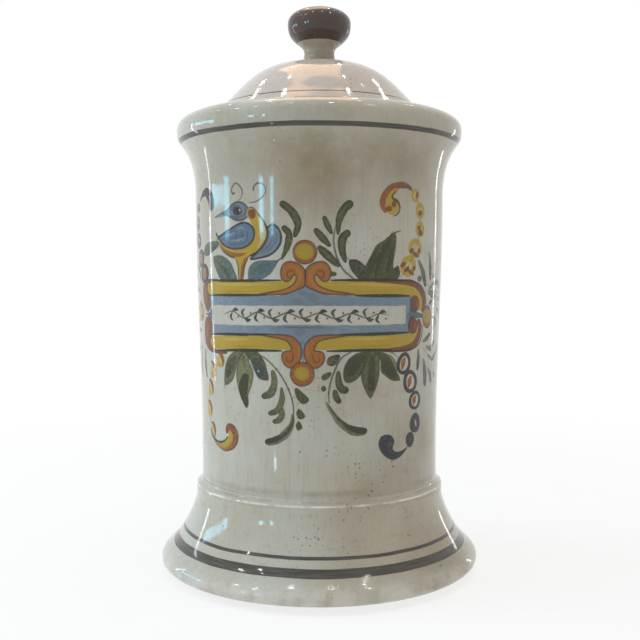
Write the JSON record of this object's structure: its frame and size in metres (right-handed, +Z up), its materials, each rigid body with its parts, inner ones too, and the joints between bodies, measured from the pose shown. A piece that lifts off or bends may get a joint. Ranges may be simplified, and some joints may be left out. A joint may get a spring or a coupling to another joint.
{
  "type": "lidded canister",
  "caption": "Tall lidded storage jar of tin-glazed earthenware, with a flaring hollow foot, a thick rolled rim and a domed lid with a knob that lifts straight off.",
  "frame": {"origin": "middle of the flat ring that the foot stands on", "axes": "+Z up along the axis that every piece is turned about, -Y towards the painted front"},
  "size_m": [0.2, 0.2, 0.3511],
  "materials": {
    "glaze": "gloss",
    "knob_glaze": "gloss"
  },
  "bodies": {
    "jar": {"foot": "glaze", "jar_body": "glaze"},
    "cover": {"lid": "glaze", "knob": "knob_glaze"}
  },
  "joints": [
    {"name": "lid_lift", "type": "slide", "parent": "jar", "child": "cover", "axis": [0, 0, 1], "range_m": [0, 0.08]}
  ]
}
